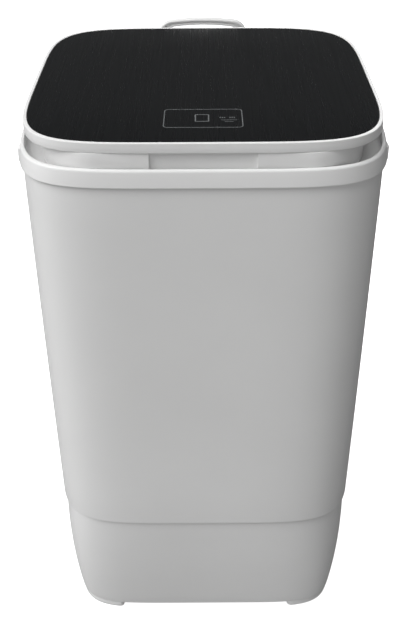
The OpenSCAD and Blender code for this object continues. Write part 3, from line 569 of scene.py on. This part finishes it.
def clips():
    """Rounded lugs that lock the collar to the cabinet on both sides."""
    r = 3 * MM
    for side, node in ((-1, "collar_clip_left"), (1, "collar_clip_right")):
        near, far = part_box(node)
        inner, outer = (far.x, near.x) if side < 0 else (near.x, far.x)
        y0, y1 = near.y, far.y
        base_x = inner + side * 1 * MM
        loop = [(inner, y0), (base_x, y0)]
        for cy, start in ((y0 + 4 * MM, -90), (y1 - 4 * MM, 0)):
            loop += [(outer + side * (x - r), y) for x, y in bend(0, cy, r, start, 8)]
        loop += [(base_x, y1), (inner, y1)]
        if side < 0:
            loop.reverse()
        piece = bevelled(extruded(node + "_skin", loop, near.z, far.z, 1.2 * MM), 0.6 * MM)
        settle(piece, "cabinet", "white_plastic", WHITE, node)


# ---- inside the tub -----------------------------------------------------------------

def bump_strip(path, heads, width, height):
    """Skin of a low rounded rib. heads gives each path point's across and outward vectors."""
    rings = []
    count = len(path) - 1
    for i, (at, (across, outward)) in enumerate(zip(path, heads)):
        fade = min(1, 3 * i / count, 3 * (count - i) / count)
        ease = math.sin(math.pi / 2 * max(fade, 0.02))
        ring = []
        for k in range(13):
            a = math.pi * k / 12
            up = math.sin(a) ** 0.7 * height(i / count) * ease if 0 < k < 12 else 0
            ring.append(at + across * (width / 2 * math.cos(a) * (0.5 + 0.5 * ease)) + outward * up)
        ring.append(at - outward * 0.6 * MM)
        rings.append(ring)
    return skin(rings, capped=True)


def merged(name, parts):
    """One mesh object out of several lists of vertices and faces."""
    verts, faces = [], []
    for part_verts, part_faces in parts:
        start = len(verts)
        verts += part_verts
        faces += [tuple(start + i for i in face) for face in part_faces]
    return make(name, verts, faces)


def tub_radius(z0, z1):
    """The tub's inner radius where its wall has vertices between two heights."""
    centre = Vector((0, AXIS_Y))
    vertices = frame["nodes"]["wash_tub"].data.vertices
    return min((v.co.xy - centre).length for v in vertices if z0 < v.co.z < z1)


def tub_ribs():
    """Low upright ribs round the tub's wall, left out behind the lint filter."""
    top = high("wash_tub").z - 14 * MM
    knee = low("wash_tub").z + 32 * MM
    upper = tub_radius(top - 1 * MM, top + 1 * MM)
    lower = tub_radius(knee - 6 * MM, knee + 6 * MM)
    filter_span = 22
    parts = []
    for turn in range(0, 360, 12):
        if abs(turn - 180) < filter_span:
            continue
        a = math.radians(turn)
        inward = Vector((-math.cos(a), -math.sin(a), 0))
        across = Vector((-math.sin(a), math.cos(a), 0))
        path = []
        for i in range(17):
            t = 0.06 + 0.86 * i / 16
            r = lower + (upper - lower) * t
            path.append(Vector((0, AXIS_Y, knee + (top - knee) * t)) - inward * r)
        parts.append(bump_strip(path, [(across, inward)] * len(path), 9 * MM, lambda t: 1.6 * MM))
    settle(merged("tub_ribs", parts), "cabinet", "tub_plastic", LOOKS["tub_plastic"])


def pulsator():
    """Low disc with six swept vanes and an open pocket for the cap in its hub."""
    bottom, top = low("pulsator").z, high("pulsator").z
    reach = (high("pulsator").x - low("pulsator").x) / 2
    hub_top = top - 4 * MM
    pocket = 15 * MM
    floor = hub_top - 12 * MM
    profile = rounded([
        (pocket, bottom, 0.3 * MM), (pocket + 1 * MM, bottom + 3.5 * MM, 1 * MM),
        (reach - 6 * MM, bottom + 3.5 * MM, 3 * MM), (reach, bottom + 6 * MM, 1 * MM),
        (reach, bottom + 8.5 * MM, 1.2 * MM), (reach - 8 * MM, bottom + 10.5 * MM, 6 * MM),
        (60 * MM, bottom + 15.5 * MM, 20 * MM), (30 * MM, bottom + 27.5 * MM, 10 * MM),
        (22 * MM, hub_top, 3 * MM), (pocket, hub_top, 0.5 * MM), (pocket, floor, 0.3 * MM),
        (6.1 * MM, floor, 0.2 * MM), (6.1 * MM, bottom, 0.2 * MM)], 5)
    rings = []
    for r, z in profile:
        rings.append([(r * math.cos(math.tau * i / 144), AXIS_Y + r * math.sin(math.tau * i / 144), z)
                      for i in range(144)])
    parts = [skin(rings, closed=True)]
    up = Vector((0, 0, 1))
    for turn in range(0, 360, 60):
        path, heads = [], []
        for i in range(19):
            t = i / 18
            r = 24 * MM + t * (reach - 34 * MM)
            a = math.radians(turn + 2 + 13 * t ** 1.3)
            path.append(Vector((r * math.cos(a), AXIS_Y + r * math.sin(a), bottom + 8 * MM)))
            heads.append((Vector((-math.sin(a), math.cos(a), 0)), up))
        parts.append(bump_strip(path, heads, 13 * MM, lambda t: (29 - 17 * t) * MM))
    piece = merged("pulsator_skin", parts)
    return settle(piece, "pulsator", "pulsator_plastic", LOOKS["pulsator_plastic"], "pulsator")


# ---- lid --------------------------------------------------------------------------

def lid_rim():
    ledge = PLATE_HALF - LEDGE_W
    wall_in = RIM_HALF - RIM_WALL
    profile = rounded([
        (wall_in, RIM_LOW, 0.3 * MM), (RIM_HALF - 0.1 * MM, RIM_LOW, 0.5 * MM),
        (RIM_HALF, RIM_LOW + 4 * MM, 3 * MM), (RIM_HALF - 0.2 * MM, PLATE_TOP, 0.9 * MM),
        (PLATE_HALF + 0.45 * MM, PLATE_TOP - 0.05 * MM, 0.4 * MM),
        (PLATE_HALF + 0.3 * MM, PLATE_TOP - 3 * MM, 0.2 * MM),
        (ledge, PLATE_TOP - 3 * MM, 0.2 * MM), (ledge, PLATE_TOP - 5 * MM, 0.4 * MM),
        (wall_in, PLATE_TOP - 5 * MM, 0.6 * MM)], 6)
    piece = swept("lid_rim_skin", profile, square_at)
    return settle(piece, "lid", "white_plastic", WHITE, "lid_rim")


def lid_plate():
    """Black plate with a quarter-round upper edge."""
    ease = 0.9 * MM
    profile = [(PLATE_HALF, PLATE_TOP - PLATE_T)]
    for i in range(7):
        a = math.pi / 2 * i / 6
        profile.append((PLATE_HALF - ease * (1 - math.cos(a)), PLATE_TOP - ease * (1 - math.sin(a))))
    profile.append((PLATE_HALF * 0.5, PLATE_TOP))
    piece = swept("lid_plate_skin", profile, square_at, closed=False, capped=True)
    return settle(piece, "lid", "black_plate", LOOKS["black_plate"], "lid_plate")


def band_loop(name, hx, hy, x0, y0, r, line, z0, z1):
    """A printed line that follows a rounded rectangle."""
    outer = rounded_rect(hx, -hy, hy, r, 8)
    inner = rounded_rect(hx - line, -hy + line, hy - line, max(r - line, 0.1 * MM), 8)
    rings = [[(x + x0, y + y0, z) for x, y in loop] for loop, z in
             ((outer, z0), (outer, z1), (inner, z1), (inner, z0))]
    verts, faces = skin(rings, closed=True)
    piece = make(name, verts, faces)
    return settle(piece, "lid", "black_plate", INK)


def panel_print():
    """Outline of the touch panel, one key, two groups of tick marks and two short bars."""
    z0, z1 = PLATE_TOP - 0.02 * MM, PLATE_TOP + 0.06 * MM
    centre = middle("touch_board")
    x0, y0 = centre.x, centre.y
    band_loop("panel_outline", 40.5 * MM, 25 * MM, x0, y0, 5 * MM, 1.0 * MM, z0, z1)
    band_loop("panel_key", 7.4 * MM, 9.8 * MM, x0 - 1.2 * MM, y0 + 0.5 * MM, 1.2 * MM, 1.3 * MM, z0, z1)
    marks = [(group + 2.2 * i, 1.5, 1.3, 2.6) for group in (17.5, 27.5) for i in range(3)]
    marks += [(26.5, -5, 16, 0.9), (26.5, -9.5, 9, 0.9)]
    parts = []
    for x, y, w, d in marks:
        loop = [(x0 + (x + sx * w / 2) * MM, y0 + (y + sy * d / 2) * MM)
                for sx, sy in ((-1, -1), (1, -1), (1, 1), (-1, 1))]
        parts.append(skin([[(px, py, z) for px, py in loop] for z in (z0, z1)], capped=True))
    settle(merged("panel_marks", parts), "lid", "black_plate", INK)


def joined(name, pieces):
    """One mesh object out of several."""
    bm = bmesh.new()
    for piece in pieces:
        bm.from_mesh(piece.data)
        bpy.data.objects.remove(piece)
    mesh = bpy.data.meshes.new(name)
    bm.to_mesh(mesh)
    bm.free()
    whole = bpy.data.objects.new(name, mesh)
    bpy.context.scene.collection.objects.link(whole)
    return whole


def rod(name, start, end, radius, steps=48):
    """Round bar between two points, with eased rims."""
    axis = (end - start).normalized()
    side = axis.orthogonal().normalized()
    across = axis.cross(side)
    ease = radius * 0.08
    ends = ((start, radius - ease), (start + axis * ease, radius),
            (end - axis * ease, radius), (end, radius - ease))
    rings = []
    for at, r in ends:
        angles = [2 * math.pi * i / steps for i in range(steps)]
        rings.append([at + side * (r * math.cos(a)) + across * (r * math.sin(a)) for a in angles])
    verts, faces = skin(rings, capped=True)
    return make(name, verts, faces)


def lid_pan():
    """Underside of the lid: pan with a finger notch in front and knuckles behind."""
    bottom, top = low("lid_inner_cover").z, RIM_LOW - 0.3 * MM
    front = AXIS_Y - low("lid_inner_cover").y
    loop = [(x, y + AXIS_Y) for x, y in rounded_rect(PAN_HALF_W, -front, PAN_REAR, PAN_CORNER, 24)]
    pan = extruded("pan", loop, bottom, top, 0.7 * MM)
    notch = rounded_rect(NOTCH_HALF, -front - 8 * MM, -front + NOTCH_D, 0.8 * MM, 5)
    notch = [(x, y + AXIS_Y) for x, y in notch]
    combine(pan, extruded("notch", notch, bottom - 5 * MM, top + 5 * MM), "DIFFERENCE")
    slab_half = RIM_HALF - 3.5 * MM
    slab_loop = [(x, y + AXIS_Y) for x, y in outline(slab_half, slab_half, CORNER_N)]
    parts = [pan, extruded("slab", slab_loop, top - 0.1 * MM, RIM_LOW + 2.8 * MM)]
    hinge = next(j for j in frame["joints"] if j["name"] == "lid_hinge")
    at = Vector(hinge["pos_m"])
    for side in (-1, 1):
        x0, x1 = side * HINGE_X - KNUCKLE_HALF, side * HINGE_X + KNUCKLE_HALF
        y0 = PAN_REAR - 1 * MM + AXIS_Y
        arm = [(x0, y0), (x1, y0), (x1, at.y), (x0, at.y)]
        parts.append(extruded("arm", arm, at.z - 3.5 * MM, at.z + 3.5 * MM))
        parts.append(rod("knuckle", Vector((x0, at.y, at.z)), Vector((x1, at.y, at.z)), KNUCKLE_R))
    piece = joined("lid_pan", parts)
    piece.data.shade_smooth()
    piece.data.set_sharp_from_angle(angle=math.radians(32))
    return settle(piece, "lid", "white_plastic", WHITE, "lid_inner_cover")


# ---- handle -----------------------------------------------------------------------

def arch(half, top, base_z, r, crown, arc=10):
    """Half-open arch outline in X and Z, from the right leg to the left leg."""
    points = [(half, base_z)]
    for i in range(arc + 1):
        a = math.pi / 2 * i / arc
        points.append((half - r + r * math.cos(a), top - crown - r + r * math.sin(a)))
    for i in range(1, 12):
        x = (half - r) * (1 - i / 6)
        points.append((x, top - crown * (x / (half - r)) ** 2))
    for i in range(arc, -1, -1):
        a = math.pi / 2 * i / arc
        points.append((-(half - r + r * math.cos(a)), top - crown - r + r * math.sin(a)))
    points.append((-half, base_z))
    return points


def arch_bar(name, half, top, thick, base_z, y0, y1, ease):
    """Arched band of the handle between y0 and y1."""
    outer = arch(half, top, base_z, SHOULDER, CROWN)
    inner = arch(half - thick - 1 * MM, top - thick, base_z, SHOULDER - 4 * MM, CROWN - 0.2 * MM)

    def towards(points, others, t):
        return [(x + (ox - x) * t, z + (oz - z) * t) for (x, z), (ox, oz) in zip(points, others)]

    t = min(0.4, ease / thick)
    rings = []
    for y, k in ((y0, t), (y0 + ease * 0.3, t * 0.3), (y0 + ease, 0),
                 (y1 - ease, 0), (y1 - ease * 0.3, t * 0.3), (y1, t)):
        loop = towards(outer, inner, k) + towards(inner, outer, k)[::-1]
        rings.append([(x, y + AXIS_Y, z) for x, z in loop])
    verts, faces = skin(rings, capped=True)
    return make(name, verts, faces)


def rear_handle():
    """Arched loop with a lip on top, a groove under it, two legs and a screwed bar."""
    box_low, box_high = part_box("rear_handle")
    half, top, back = box_high.x, box_high.z, box_high.y - AXIS_Y
    foot = box_low.z
    bar_y = COLLAR_HALF + 1 * MM
    leg_back = back - 1.5 * MM
    parts = [
        arch_bar("lip", half, top, HANDLE_LIP, foot, back - 9.9 * MM, back, 0.8 * MM),
        arch_bar("web", half - 1.5 * MM, top - 1.5 * MM, HANDLE_WEB, foot,
                 back - 6.6 * MM, leg_back, 0.6 * MM),
        arch_bar("band", half - 4.4 * MM, top - 4.4 * MM, 3.3 * MM, foot,
                 back - 8.5 * MM, back - 5 * MM, 0.5 * MM)]
    screw_z = middle("handle_screws").z
    bar_half = half - 1 * MM
    bar = [(-bar_half, bar_y), (bar_half, bar_y), (bar_half, bar_y + 4 * MM), (-bar_half, bar_y + 4 * MM)]
    bar = [(x, y + AXIS_Y) for x, y in bar]
    parts.append(extruded("bar", bar, screw_z - 6 * MM, screw_z + 6 * MM))
    for side in (-1, 1):
        x0 = side * (half - 4.5 * MM) - 3.5 * MM
        x1 = x0 + 7 * MM
        leg = [(x0, bar_y), (x1, bar_y), (x1, leg_back), (x0, leg_back)]
        parts.append(extruded("leg", [(x, y + AXIS_Y) for x, y in leg], foot, foot + 20 * MM))
    piece = joined("handle_loop", parts)
    piece.data.shade_smooth()
    piece.data.set_sharp_from_angle(angle=math.radians(32))
    bevelled(piece, 0.4 * MM, 2)
    return settle(piece, "cabinet", "white_plastic", WHITE, "rear_handle")


dress_frame()
cabinet()
base()
collar()
feet()
clips()
tub_ribs()
pulsator()
lid_rim()
lid_plate()
lid_pan()
panel_print()
rear_handle()


# ---- stage, light and camera --------------------------------------------------------

WORLD_LIGHT = 0.13
LENS = 54.2                     # mm on a 36 mm sensor
SHIFT_X = -0.001
EYE_BACK = 1.060                # the camera's distance in front of the cabinet's axis
EYE_UP = 1.074
LOOK_DOWN = 33.4                # degrees below level
ROLL = -0.005


def plain(name, colour, glow):
    material = bpy.data.materials.new(name)
    material.use_nodes = True
    shader = material.node_tree.nodes["Principled BSDF"]
    shader.inputs["Base Color"].default_value = (*colour, 1)
    shader.inputs["Roughness"].default_value = 0.9
    shader.inputs["Specular IOR Level"].default_value = 0.0
    shader.inputs["Emission Color"].default_value = (1, 1, 1, 1)
    shader.inputs["Emission Strength"].default_value = glow
    return material


def studio():
    """Pale floor that sweeps up into a backdrop. It only shows to the camera."""
    profile = [(0.02, 0), (8, 0), (8.6, 0.25), (9, 0.9), (9, 9)]
    steps = 64
    turns = [2 * math.pi * i / steps for i in range(steps)]
    rings = [[(r * math.cos(a), r * math.sin(a), z) for a in turns] for r, z in profile]
    verts, faces = skin(rings)
    faces.append(tuple(range(steps)))
    stage = make("studio", verts, faces)
    stage.data.materials.append(plain("pale_floor", (0.86, 0.86, 0.86), 0.82))
    stage.visible_diffuse = False
    stage.visible_glossy = False
    stage.visible_shadow = False


def sun(name, towards, strength, angle, mirrored=True):
    """Broad, even light that comes from the direction `towards`."""
    data = bpy.data.lights.new(name, "SUN")
    data.energy = strength
    data.angle = math.radians(angle)
    lamp = bpy.data.objects.new(name, data)
    bpy.context.scene.collection.objects.link(lamp)
    lamp.rotation_euler = Vector(towards).to_track_quat("Z", "Y").to_euler()
    lamp.visible_glossy = mirrored


def sky():
    world = bpy.data.worlds.new("studio")
    bpy.context.scene.world = world
    world.use_nodes = True
    world.node_tree.nodes["Background"].inputs["Color"].default_value = (1, 1, 1, 1)
    world.node_tree.nodes["Background"].inputs["Strength"].default_value = WORLD_LIGHT


def camera():
    data = bpy.data.cameras.new("camera")
    data.sensor_width = 36
    data.lens = LENS
    data.shift_x = SHIFT_X
    eye = bpy.data.objects.new("camera", data)
    bpy.context.scene.collection.objects.link(eye)
    eye.location = (0, AXIS_Y - EYE_BACK, EYE_UP)
    eye.rotation_euler = (math.radians(90 - LOOK_DOWN), 0, 0)
    eye.rotation_euler.rotate_axis("Z", ROLL)
    bpy.context.scene.camera = eye


studio()
sky()
sun("key", (-0.60, -0.30, 0.74), 1.96, 40)
sun("side", (-0.95, -0.10, 0.30), 0.86, 60)
sun("front", (0, -0.95, 0.31), 0.50, 60)
sun("bounce", (0.1, -0.3, -0.95), 0.40, 60)
sun("back", (0.10, 0.95, 0.28), 1.15, 30, mirrored=False)
sun("top", (0, 0, 1), 1.02, 60)
camera()
bpy.context.scene.view_settings.view_transform = "Standard"
